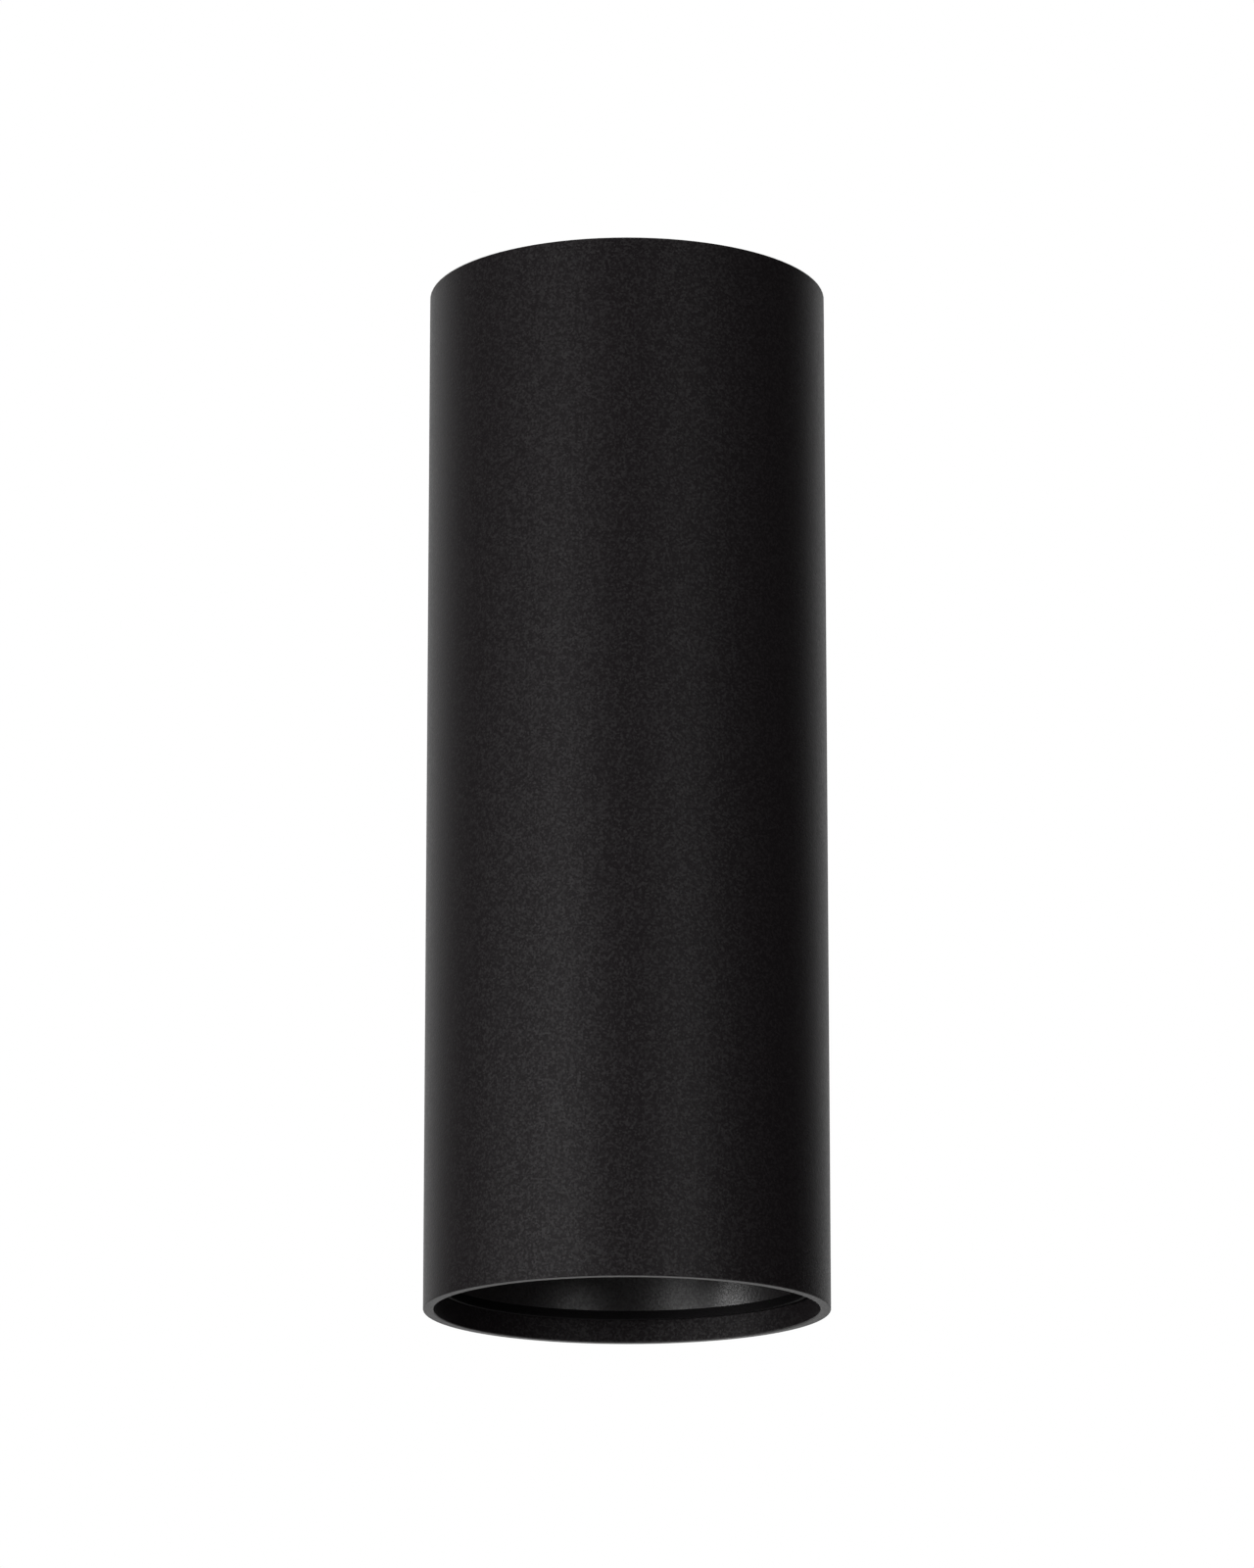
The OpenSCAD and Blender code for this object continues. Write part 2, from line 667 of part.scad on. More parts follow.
// Terminal block's housing: one chamber for each pole, ports at both long sides, buttons on top
module terminal_body() {
    body_h = block_h - block_base_t;
    color("#f0f0ee") translate([0, 0, shelf_top_z + block_base_t]) difference() {
        union() {
            translate([-block_w / 2, -block_d / 2, 0]) cube([block_w, block_d, body_h]);
            translate([-block_w / 2 - ear_w, -ear_d / 2, 0])
                cube([block_w + 2 * ear_w, ear_d, ear_h - block_base_t]);
        }
        for (x = poles_x) translate([x, 0, 0]) {
            translate([-chamber_w / 2, -block_d / 2 + block_wall, -cut])
                cube([chamber_w, block_d - 2 * block_wall, cut + body_h - block_wall]);
            translate([0, 0, body_h])
                cube([button_w + 2 * fit, button_w + 2 * fit, 4 * block_wall], center = true);
            translate([0, 0, port_h - block_base_t]) rotate([90, 0, 0])
                cylinder(d = lead_d + 2 * fit, h = block_d + 2 * cut, center = true);
        }
        for (s = [-1, 1]) translate([s * ear_x, 0, -cut])
            cylinder(r = small_screw_r + screw_gap, h = body_h + 2 * cut);
    }
}

// Plate that closes the terminal block's chambers from below
module terminal_base() {
    color("#dcdcd8") difference() {
        translate([-block_w / 2 - ear_w, -block_d / 2, shelf_top_z])
            cube([block_w + 2 * ear_w, block_d, block_base_t]);
        for (s = [-1, 1]) translate([s * ear_x, 0, shelf_top_z - cut])
            cylinder(r = small_screw_r + screw_gap, h = block_base_t + 2 * cut);
    }
}

// Two screws through the block's ears into the shelf
module terminal_screws() {
    color("#8f9296") for (s = [-1, 1]) translate([s * ear_x, 0, shelf_top_z + ear_h])
        pan_screw(small_screw_r, ear_h + sheet_t + tip_room, small_head_r, small_head_t);
}

// Spring clamps: a bar under the wires, a post, and a leaf that leans on each wire
module contact_clamps() {
    leaf_w = 4;
    bar_t = 0.8;
    half_bar = block_d / 2 - block_wall - 0.5;
    tip_y = block_d / 4;
    color("#c9a25a") for (x = poles_x) translate([x + leaf_w / 2, 0, shelf_top_z]) rotate([90, 0, -90])
        linear_extrude(leaf_w) {
            translate([-half_bar, block_base_t]) square([2 * half_bar, bar_t]);
            translate([-clamp_leaf_t / 2, block_base_t]) square([clamp_leaf_t, clamp_top_h - block_base_t]);
            for (s = [-1, 1]) polygon([
                [0, clamp_top_h], [0, clamp_top_h + clamp_leaf_t],
                [s * tip_y, clamp_tip_h + clamp_leaf_t], [s * tip_y, clamp_tip_h]]);
        }
}

// A release button: a square stem with a flange that keeps it in the block
module release_button(x) {
    top_z = block_top_z + button_proud;
    flange_top_z = block_top_z - block_wall - fit;
    translate([x, 0, 0]) {
        translate([-button_w / 2, -button_w / 2, button_foot_z])
            cube([button_w, button_w, top_z - button_foot_z]);
        translate([-stem_flange_w / 2, -stem_flange_w / 2, flange_top_z - stem_flange_t])
            cube([stem_flange_w, stem_flange_w, stem_flange_t]);
    }
}

module live_button() {
    color("#8a5a3a") release_button(poles_x[0]);
}

module neutral_button() {
    color("#3c64a8") release_button(poles_x[1]);
}

module earth_button() {
    color("#4c9a4a") release_button(poles_x[2]);
}

// A mains lead: out of the block's port, down over the shelf's edge and into the driver's connector
module mains_lead(x) {
    start_y = -block_d / 2 + port_depth;
    end_z = driver_top_z + connector_h - port_depth;
    bend_y = lead_y + lead_bend;
    translate([x, 0, 0]) {
        translate([0, start_y, port_z]) rotate([0, 0, -90]) wire_run(lead_d, start_y - bend_y);
        translate([0, bend_y, port_z]) rotate([-90, 0, -90]) wire_bend(lead_d, lead_bend);
        translate([0, lead_y, end_z]) cylinder(d = lead_d, h = port_z - lead_bend - end_z);
    }
}

module live_lead() {
    color("#7a4a2c") mains_lead(poles_x[0]);
}

module neutral_lead() {
    color("#3c64a8") mains_lead(poles_x[1]);
}

// Earth lead: out of the block's port, then level round to the lug on the shelf
module earth_lead() {
    start_y = -block_d / 2 + port_depth;
    turn_y = -block_d / 2 - 2;
    far_y = turn_y - lead_bend;
    run_x = earth_screw_at[0] - poles_x[2] - 2 * lead_bend;
    color("#6fa83c") translate([poles_x[2], 0, port_z]) {
        translate([0, start_y, 0]) rotate([0, 0, -90]) wire_run(lead_d, start_y - turn_y);
        translate([0, turn_y, 0]) rotate([0, 0, -90]) wire_bend(lead_d, lead_bend);
        translate([lead_bend, far_y, 0]) wire_run(lead_d, run_x);
        translate([lead_bend + run_x, far_y, 0]) wire_bend(lead_d, lead_bend);
        translate([2 * lead_bend + run_x, turn_y, 0]) rotate([0, 0, 90])
            wire_run(lead_d, barrel_y - turn_y - 1);
    }
}

// Crimped ring lug on the earth lead
module earth_lug() {
    seat_z = shelf_top_z + earth_boss_h;
    color("#c8c8cc") difference() {
        union() {
            translate([earth_screw_at[0], earth_screw_at[1], seat_z])
                cylinder(r = lug_ring_r, h = lug_tongue_t);
            translate([earth_screw_at[0] - lead_d / 2, barrel_y - 0.5, seat_z])
                cube([lead_d, earth_screw_at[1] - barrel_y + 0.5, lug_tongue_t]);
            translate([earth_screw_at[0], barrel_y, port_z]) rotate([90, 0, 0])
                cylinder(d = lead_d + 2 * barrel_wall, h = barrel_len);
        }
        translate([earth_screw_at[0], earth_screw_at[1], seat_z - cut])
            cylinder(r = screw_r + fit, h = lug_tongue_t + 2 * cut);
        translate([earth_screw_at[0], barrel_y + cut, port_z]) rotate([90, 0, 0])
            cylinder(d = lead_d + 2 * screw_gap, h = barrel_len + 2 * cut);
    }
}

// Earth screw through the lug, the shelf and the cradle
module earth_screw() {
    grip = lug_tongue_t + earth_boss_h;
    color("#b8a46a") translate([earth_screw_at[0], earth_screw_at[1], shelf_top_z + grip])
        pan_screw(screw_r, grip + 2 * sheet_t + tip_room, lug_ring_r * 0.85, head_t);
}

// A lead to the light source: down a gap between fins, through its bush and into the holder's side
module led_lead(angle) {
    top_z = driver_z + board_inset;
    bend_z = led_port_z + led_lead_bend;
    rotate([0, 0, angle]) {
        translate([led_lead_r, 0, bend_z]) cylinder(d = led_lead_d, h = top_z - bend_z);
        translate([led_lead_r - led_lead_bend, 0, led_port_z]) rotate([90, 0, 0])
            wire_bend(led_lead_d, led_lead_bend);
        translate([led_lead_r - led_lead_bend, 0, led_port_z]) rotate([0, 0, 180])
            wire_run(led_lead_d, led_lead_r - led_lead_bend - holder_r + 1.5);
    }
}

module led_lead_positive() {
    color("#a83030") led_lead(led_lead_angles[0]);
}

module led_lead_negative() {
    color("#202020") led_lead(led_lead_angles[1]);
}

// Thermal pad between the LED board and the heat sink
module thermal_pad() {
    color("#9aa0a8") translate([-led_side / 2, -led_side / 2, sink_z - pad_t])
        cube([led_side, led_side, pad_t]);
}

// Square LED board
module led_board() {
    color("#e6e6e2") translate([-led_side / 2, -led_side / 2, led_z]) cube([led_side, led_side, led_t]);
}

// Round yellow emitting face of the LED
module led_emitter() {
    color("#f0c23c") translate([0, 0, led_z - emitter_t]) cylinder(r = emitter_r, h = emitter_t);
}

// Holder that clamps the LED board to the heat sink
module led_holder() {
    pocket = led_side + 2 * fit;
    color("#f4f4f0") difference() {
        translate([0, 0, holder_z]) cylinder(r = holder_r, h = holder_t);
        translate([0, 0, holder_z - cut]) cylinder(r = window_r, h = holder_t + 2 * cut);
        translate([-pocket / 2, -pocket / 2, led_z]) cube([pocket, pocket, sink_z - led_z + cut]);
        for (s = [-1, 1]) translate([s * holder_screw_r, 0, holder_z - cut]) {
            cylinder(r = small_screw_r + screw_gap, h = holder_t + 2 * cut);
            cylinder(r = small_head_r + fit, h = cut + holder_seat_t);
        }
        for (a = led_lead_angles) rotate([0, 0, a]) translate([holder_r - 2, 0, led_port_z])
            wire_run(led_lead_d + 2 * fit, 2 + cut);
    }
}

// Two screws in the holder, their heads sunk in its face
module holder_screws() {
    color("#8f9296") for (s = [-1, 1])
        translate([s * holder_screw_r, 0, holder_z + holder_seat_t]) rotate([180, 0, 0])
            pan_screw(small_screw_r, holder_screw_len, small_head_r, small_head_t);
}

// Carrier under the heat sink: it holds the glass and takes the reflector's bayonet
module optic_carrier() {
    hole_r = neck_out_r + play;
    chamber_h = glass_z - chamber_z;
    color("#242426") difference() {
        union() {
            rotate_extrude($fn = 180) polygon([
                [hole_r, floor_z], [carrier_r, floor_z], [carrier_r, sink_z - carrier_flange_t],
                [carrier_flange_r, sink_z - carrier_flange_t], [carrier_flange_r, sink_z],
                [cavity_r, sink_z], [cavity_r, glass_z], [lug_room_r, glass_z],
                [lug_room_r, chamber_z], [hole_r, chamber_z]]);
            for (i = [0:lug_count - 1], a = stop_angles)
                rotate([0, 0, i * lug_pitch + a]) translate([0, 0, chamber_z - fit])
                    ring_sector(lug_room_r + fit, neck_out_r + 2 * play, chamber_h + fit, stop_angle);
        }
        for (i = [0:lug_count - 1]) rotate([0, 0, i * lug_pitch - twist]) translate([0, 0, floor_z - cut])
            ring_sector(lug_room_r, neck_out_r - play, carrier_floor_t + cut, notch_angle);
        for (i = [0:2]) rotate([0, 0, 60 + i * 120])
            translate([carrier_screw_r, 0, sink_z - carrier_flange_t - cut])
                cylinder(r = screw_r + fit, h = carrier_flange_t + 2 * cut);
    }
}

// Three screws that hold the carrier to the heat sink
module carrier_screws() {
    color("#b9bcc0") for (i = [0:2]) rotate([0, 0, 60 + i * 120])
        translate([carrier_screw_r, 0, sink_z - carrier_flange_t]) rotate([180, 0, 0])
            pan_screw(screw_r, carrier_screw_len, head_r * 0.9, head_t);
}

// Bright inner reflector between the LED and the glass
module optic_reflector() {
    top_r = window_r + 0.6;
    wide_r = lug_room_r - 0.4;
    color("#d9dbde") translate([0, 0, optic_z]) rotate_extrude() polygon([
        [wide_r, 0], [glass_r, 0], [glass_r, optic_t * 1.5], [wide_r + optic_t, optic_t * 1.5],
        [top_r + optic_t + 1.6, optic_h - optic_t], [top_r + optic_t + 1.6, optic_h], [top_r, optic_h]]);
}

// Silicone gasket between the glass and the bright reflector
module optic_gasket() {
    color("#b6b6ae") translate([0, 0, gasket_z]) pipe(glass_r, lug_room_r + 0.2, gasket_t);
}

// Clear cover glass
module cover_glass() {
    color("#cfe3e8", 0.4) translate([0, 0, glass_z]) cylinder(r = glass_r, h = glass_t);
}

// Soft ring on the glass, against which the reflector's neck turns
module neck_seal() {
    color("#141414") translate([0, 0, glass_z - seal_t]) pipe(neck_out_r - 0.2, neck_r + 0.2, seal_t);
}

// Black anti-glare reflector: lip, bowl, neck and bayonet lugs
module anti_glare_reflector() {
    neck_h = neck_top_z - neck_z;
    lip_w = lip_r - mouth_r;
    slope_from = edge_r * [1 + sin(lip_slope), 1 - cos(lip_slope)];
    slope_end_h = slope_from[1] + (lip_w - slope_from[0]) * tan(lip_slope);
    color("#161617") {
        rotate_extrude($fn = 180) {
            translate([mouth_r, lip_z]) {
                translate([edge_r, edge_r]) circle(r = edge_r);
                polygon([[0, edge_r], slope_from, [lip_w, slope_end_h], [lip_w, lip_h], [0, lip_h]]);
            }
            intersection() {
                translate(bowl_centre) difference() {
                    circle(r = bowl_arc_r + bowl_t, $fn = 360);
                    circle(r = bowl_arc_r, $fn = 360);
                }
                translate([neck_r, bowl_z]) square([lip_r - neck_r, bowl_h]);
            }
            translate([neck_r, neck_z]) square([neck_t, neck_h]);
        }
        for (i = [0:lug_count - 1]) rotate([0, 0, i * lug_pitch]) translate([0, 0, lug_z])
            ring_sector(lug_r, neck_out_r - neck_t / 2, lug_h, lug_angle);
    }
}

tube_housing();
ceiling_bracket();
cable_grommet();
clinch_nuts();
side_grub_screws();
heatsink();
lead_bushes();
driver_cradle();
cradle_screws();
driver_case();
driver_cover();
cover_screws();
driver_fixing_screws();
driver_board();
driver_transformer();
driver_capacitors();
driver_inductor();
input_connector();
terminal_shelf();
shelf_screws();
terminal_body();
terminal_base();
terminal_screws();
contact_clamps();
live_button();
neutral_button();
earth_button();
live_lead();
neutral_lead();
earth_lead();
earth_lug();
earth_screw();
led_lead_positive();
led_lead_negative();
thermal_pad();
led_board();
led_emitter();
led_holder();
holder_screws();
optic_carrier();
carrier_screws();
optic_reflector();
optic_gasket();
cover_glass();
neck_seal();
anti_glare_reflector();
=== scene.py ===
import math

import bpy
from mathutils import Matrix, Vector


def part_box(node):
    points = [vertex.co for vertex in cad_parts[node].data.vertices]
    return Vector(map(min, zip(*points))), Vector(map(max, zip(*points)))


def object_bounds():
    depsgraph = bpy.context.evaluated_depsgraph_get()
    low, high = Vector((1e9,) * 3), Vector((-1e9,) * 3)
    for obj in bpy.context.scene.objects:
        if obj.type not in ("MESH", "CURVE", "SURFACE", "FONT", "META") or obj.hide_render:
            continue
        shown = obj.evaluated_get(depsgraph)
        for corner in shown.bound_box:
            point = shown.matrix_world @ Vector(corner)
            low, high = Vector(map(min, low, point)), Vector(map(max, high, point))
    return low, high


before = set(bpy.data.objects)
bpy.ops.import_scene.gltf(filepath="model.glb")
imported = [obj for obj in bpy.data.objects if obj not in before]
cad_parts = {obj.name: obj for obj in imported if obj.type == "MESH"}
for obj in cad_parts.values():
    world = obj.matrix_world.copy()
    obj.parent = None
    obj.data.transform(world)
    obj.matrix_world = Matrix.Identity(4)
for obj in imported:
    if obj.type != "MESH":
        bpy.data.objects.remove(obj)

CAD_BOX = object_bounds()

# Lengths are in metres. These are a millimetre and a thousandth of one
MM = 0.001
MICRON = 0.000001

# Middle of the light
MIDDLE = (Vector(CAD_BOX[0]) + Vector(CAD_BOX[1])) / 2.0

# Camera: a little below the light and tilted up at it, with a long lens
EYE = (0.0, -1.2794, -0.4180)
TILT = math.radians(14.06)
# Nearest distance that it sees
NEAREST = 0.01
# Lens and sensor width, the only lengths given in millimetres
LENS = 157.56
SENSOR = 36.0

# Level of the plain room light that reaches every face
ROOM_LEVEL = 0.30

# Distance of the lamps from the light's middle
LAMP_DISTANCE = 2.2

# Columns and rows of faces in a studio card
CARD_COLUMNS = 24
CARD_ROWS = 8

# Floor: its height, its radius and the number of sides of its rim
FLOOR_Z = -1.5
FLOOR_R = 3.2
FLOOR_SIDES = 96
# Shares of the radius between which the floor fades out
FADE_START = 0.45
FADE_END = 0.98
# Share of white added to the floor where it is seen, so that its shadows stay
FLOOR_LIFT = 0.45

# Height of the near-black band of painted shade round the reflector's lip, and of the soft edge at its top
LIP_SHADE_BAND = 1.85 * MM
SHADE_BAND_EDGE = 0.04 * MM

# Drop of the earth lead's stripe below the lead's middle height, and its soft edge
STRIPE_DROP = 0.30 * MM
STRIPE_EDGE = 0.05 * MM

# Values between which a noise texture mostly runs
NOISE_LOW = 0.3
NOISE_HIGH = 0.7

# Distance between the ridges of a wave texture at scale 1
WAVE_PERIOD = math.pi / 10.0

# Size of a plain finish's cloudy variation in grains, and the spread of its roughness
CLOUD = 9.0
ROUGH_SPREAD = 0.15


class Finish:
    """One shader with textures laid out in the piece's own metres."""

    def __init__(self, slot, colour, rough, metallic=0.0, specular=0.5):
        self.made = bpy.data.materials.new(slot + "_finish")
        self.made.use_nodes = True
        self.made.diffuse_color = (*colour, 1.0)
        self.nodes = self.made.node_tree.nodes
        self.links = self.made.node_tree.links
        self.shader = self.nodes["Principled BSDF"]
        self.set("Base Color", (*colour, 1.0))
        self.set("Roughness", rough)
        self.set("Metallic", metallic)
        self.set("Specular IOR Level", specular)
        self.place = self.nodes.new("ShaderNodeTexCoord").outputs["Object"]
        self.normal = None

    def set(self, socket, value):
        """Gives a shader socket a plain value."""
        self.shader.inputs[socket].default_value = value

    def feed(self, source, socket):
        """Leads a texture into a shader socket."""
        self.links.new(source, self.shader.inputs[socket])

    def stretched(self, stretch):
        """The piece's coordinates, scaled so that a texture runs long where stretch is small."""
        if stretch is None:
            return self.place
        mapping = self.nodes.new("ShaderNodeMapping")
        mapping.inputs["Scale"].default_value = stretch
        self.links.new(self.place, mapping.inputs["Vector"])
        return mapping.outputs["Vector"]

    def noise(self, size, detail=2.0, stretch=None):
        """Cloudy variation with features about size across."""
        made = self.nodes.new("ShaderNodeTexNoise")
        made.inputs["Scale"].default_value = 1.0 / size
        made.inputs["Detail"].default_value = detail
        self.links.new(self.stretched(stretch), made.inputs["Vector"])
        return made.outputs["Fac"]

    def cells(self, size, smooth):
        """Rounded cells about size across."""
        made = self.nodes.new("ShaderNodeTexVoronoi")
        made.feature = "SMOOTH_F1"
        made.inputs["Scale"].default_value = 1.0 / size
        made.inputs["Smoothness"].default_value = smooth
        self.links.new(self.place, made.inputs["Vector"])
        return made.outputs["Distance"]

    def grit(self, size):
        """A random value for each grain about size across."""
        made = self.nodes.new("ShaderNodeTexVoronoi")
        made.inputs["Scale"].default_value = 1.0 / size
        self.links.new(self.place, made.inputs["Vector"])
        return made.outputs["Color"]

    def bands(self, size, axis, wobble=0.0):
        """Even ridges, size apart, along an axis."""
        made = self.nodes.new("ShaderNodeTexWave")
        made.bands_direction = axis
        made.inputs["Scale"].default_value = WAVE_PERIOD / size
        made.inputs["Distortion"].default_value = wobble
        self.links.new(self.place, made.inputs["Vector"])
        return made.outputs["Fac"]

    def axis(self, name):
        """The place along one of the piece's axes."""
        split = self.nodes.new("ShaderNodeSeparateXYZ")
        self.links.new(self.place, split.inputs["Vector"])
        return split.outputs[name]

    def ramp(self, source, low, high, start=NOISE_LOW, end=NOISE_HIGH):
        """A colour from low to high as the source goes from start to end."""
        made = self.nodes.new("ShaderNodeValToRGB")
        made.color_ramp.elements[0].position = start
        made.color_ramp.elements[0].color = (*low, 1.0)
        made.color_ramp.elements[1].position = end
        made.color_ramp.elements[1].color = (*high, 1.0)
        self.links.new(source, made.inputs["Fac"])
        return made.outputs["Color"]

    def span(self, source, low, high, start=NOISE_LOW, end=NOISE_HIGH):
        """A number from low to high as the source goes from start to end."""
        made = self.nodes.new("ShaderNodeMapRange")
        made.inputs["From Min"].default_value = start
        made.inputs["From Max"].default_value = end
        made.inputs["To Min"].default_value = low
        made.inputs["To Max"].default_value = high
        self.links.new(source, made.inputs["Value"])
        return made.outputs["Result"]

    def mottle(self, source, low, high, start=NOISE_LOW, end=NOISE_HIGH):
        """Varies the colour from low to high."""
        self.feed(self.ramp(source, low, high, start, end), "Base Color")

    def glint(self, source, low, high, start=NOISE_LOW, end=NOISE_HIGH):
        """Varies the shine from low to high, where 1 is the finish's own."""
        self.feed(self.span(source, low, high, start, end), "Specular Tint")

    def gloss(self, source, low, high):
        """Varies the roughness from low to high."""
        self.feed(self.span(source, low, high), "Roughness")

    def blend(self, socket, share, source, value):
        """The source where share is 0 and the plain value where it is 1."""
        made = self.nodes.new("ShaderNodeMix")
        made.data_type = "RGBA" if socket == "Base Color" else "FLOAT"
        ports = [port for port in made.inputs if port.enabled]
        result = [port for port in made.outputs if port.enabled][0]
        self.links.new(share, ports[0])
        self.links.new(source, ports[1])
        ports[2].default_value = value
        self.feed(result, socket)

    def relief(self, source, height):
        """Relief of that height, laid over any that came before; below 0 high and low change places."""
        made = self.nodes.new("ShaderNodeBump")
        made.inputs["Strength"].default_value = 1.0
        made.inputs["Distance"].default_value = height
        self.links.new(source, made.inputs["Height"])
        if self.normal is not None:
            self.links.new(self.normal, made.inputs["Normal"])
        self.normal = made.outputs["Normal"]
        self.feed(self.normal, "Normal")


def scaled(colour, factor):
    """The colour, lighter or darker by a factor."""
    return tuple(channel * factor for channel in colour)


def plain(slot, colour, rough, grain, height, metallic=0.0, specular=0.5, spread=0.12):
    """Plastic, rubber or metal with an even fine grain."""
    made = Finish(slot, colour, rough, metallic, specular)
    fine = made.noise(grain)
    cloud = made.noise(grain * CLOUD, detail=3.0)
    made.mottle(cloud, scaled(colour, 1.0 - spread), scaled(colour, 1.0 + spread))
    made.gloss(fine, rough * (1.0 - ROUGH_SPREAD), rough * (1.0 + ROUGH_SPREAD))
    made.relief(fine, height)
    return made


def tube_black(slot):
    """Fine sand-textured powder coat."""
    made = Finish(slot, (0.0088, 0.0070, 0.0080), 0.47, specular=0.19)
    grain = 0.37 * MM
    height = 20.0 * MICRON
    grit = made.grit(grain)
    sand = made.noise(grain, detail=1.0)
    made.mottle(grit, (0.0083, 0.0066, 0.0075), (0.0095, 0.0076, 0.0086), start=0.2, end=0.8)
    made.glint(grit, 0.64, 1.92, start=0.4, end=0.85)
    made.gloss(grit, 0.44, 0.52)
    made.relief(made.cells(0.42 * MM, smooth=0.15), -height)
    made.relief(sand, height)
    return made


def reflector_black(slot):
    """Satin black lacquer with a faint orange peel, and a near-black, dull metallic band of painted shade
    round the lip.
    """
    made = Finish(slot, (0.0085, 0.0082, 0.0085), 0.30, specular=0.50)
    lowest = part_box("anti_glare_reflector")[0]
    # Below this height the lacquer gives way to near-black rough metal that takes almost no light: painted
    # shade along the lip
    shade_band_top = lowest[2] + LIP_SHADE_BAND
    shade_band = made.span(made.axis("Z"), 1.0, 0.0, start=shade_band_top - SHADE_BAND_EDGE, end=shade_band_top)
    sand = made.noise(0.45 * MM, detail=1.0)
    lacquer = made.ramp(sand, (0.0074, 0.0062, 0.0068), (0.0104, 0.0087, 0.0096))
    made.blend("Base Color", shade_band, lacquer, (0.0110, 0.0105, 0.0110, 1.0))
    made.blend("Roughness", shade_band, made.span(sand, 0.34, 0.40), 0.6)
    made.feed(shade_band, "Metallic")
    made.glint(made.grit(0.40 * MM), 0.82, 1.18, start=0.2, end=0.8)
    made.relief(made.cells(0.50 * MM, smooth=0.25), -20.0 * MICRON)
    made.relief(sand, 16.0 * MICRON)
    return made


def bracket_zinc(slot):
    """Dull zinc plate over cold rolled steel."""
    made = Finish(slot, (0.60, 0.60, 0.59), 0.44, metallic=0.6)
    rolled = made.noise(0.25 * MM, detail=3.0, stretch=(0.04, 1.0, 1.0))
    made.mottle(made.noise(1.2 * MM, detail=4.0), (0.54, 0.545, 0.55), (0.64, 0.64, 0.62))
    made.gloss(rolled, 0.36, 0.52)
    made.relief(rolled, 8.0 * MICRON)
    return made


def heatsink_aluminium(slot):
    """Bare cast aluminium with draw lines along the fins."""
    made = Finish(slot, (0.80, 0.80, 0.81), 0.36, metallic=1.0)
    made.mottle(made.noise(4.0 * MM, detail=3.0), (0.74, 0.74, 0.75), (0.84, 0.84, 0.85))
    lines = made.noise(0.3 * MM, detail=3.0, stretch=(1.0, 1.0, 0.03))
    made.gloss(lines, 0.29, 0.43)
    made.relief(lines, 6.0 * MICRON)
    return made


def board_green(slot):
    """Green solder mask over woven glass laminate."""
    made = Finish(slot, (0.012, 0.105, 0.042), 0.32)
    made.mottle(made.noise(3.0 * MM, detail=3.0), (0.010, 0.085, 0.034), (0.016, 0.125, 0.050))
    for direction in ("X", "Z"):
        made.relief(made.bands(0.6 * MM, direction), 8.0 * MICRON)
    made.gloss(made.noise(1.5 * MM), 0.27, 0.38)
    return made


def winding_yellow(slot):
    """Polyester tape wrapped round the transformer."""
    made = Finish(slot, (0.80, 0.56, 0.05), 0.30)
    wraps = made.bands(2.1 * MM, "Z", wobble=0.3)
    made.mottle(wraps, (0.70, 0.46, 0.03), (0.84, 0.60, 0.07), start=0.0, end=1.0)
    made.gloss(made.noise(1.2 * MM), 0.24, 0.36)
    made.relief(wraps, 60.0 * MICRON)
    return made


def choke_copper(slot):
    """Enamelled copper wire, wound close, with painted shade in the grooves between the turns."""
    made = Finish(slot, (0.62, 0.24, 0.085), 0.26, metallic=0.9)
    turns = made.bands(0.45 * MM, "Z", wobble=0.2)
    # The colour darkens to about half in the grooves between turns: painted shade
    made.mottle(turns, (0.34, 0.11, 0.035), (0.68, 0.28, 0.10), start=0.0, end=0.7)
    made.gloss(made.noise(0.8 * MM), 0.20, 0.34)
    made.relief(turns, 120.0 * MICRON)
    return made


def emitter_yellow(slot):
    """Phosphor gel over a grid of small chips."""
    made = Finish(slot, (0.86, 0.62, 0.10), 0.22)
    columns = made.bands(1.1 * MM, "X")
    rows = made.bands(1.1 * MM, "Y")
    made.mottle(columns, (0.80, 0.54, 0.07), (0.90, 0.68, 0.14), start=0.2, end=0.9)
    for ridges in (columns, rows):
        made.relief(ridges, 20.0 * MICRON)
    made.gloss(made.noise(1.4 * MM), 0.17, 0.28)
    made.set("Subsurface Weight", 0.15)
    made.set("Subsurface Scale", 0.6 * MM)
    return made


def reflector_bright(slot):
    """Metallised reflector with soft hammered facets."""
    made = Finish(slot, (0.88, 0.88, 0.89), 0.14, metallic=1.0)
    facets = made.cells(2.4 * MM, smooth=0.35)
    made.mottle(made.noise(7.0 * MM), (0.85, 0.85, 0.86), (0.91, 0.91, 0.92))
    made.gloss(made.noise(1.2 * MM), 0.10, 0.18)
    made.relief(facets, 160.0 * MICRON)
    return made


def glass_clear(slot):
    """Clear flat glass with faint traces of wiping."""
    made = Finish(slot, (0.965, 0.985, 0.975), 0.02)
    made.set("Transmission Weight", 1.0)
    made.set("IOR", 1.50)
    made.gloss(made.noise(4.0 * MM, detail=3.0, stretch=(1.0, 0.25, 1.0)), 0.005, 0.05)
    made.relief(made.noise(6.0 * MM, detail=1.0), 2.0 * MICRON)
    return made


def gasket_silicone(slot):
    """Translucent pale grey silicone."""
    made = plain(slot, (0.74, 0.74, 0.71), 0.38, 0.6 * MM, 10.0 * MICRON)
    made.set("Subsurface Weight", 0.25)
    made.set("Subsurface Scale", 1.2 * MM)
    return made


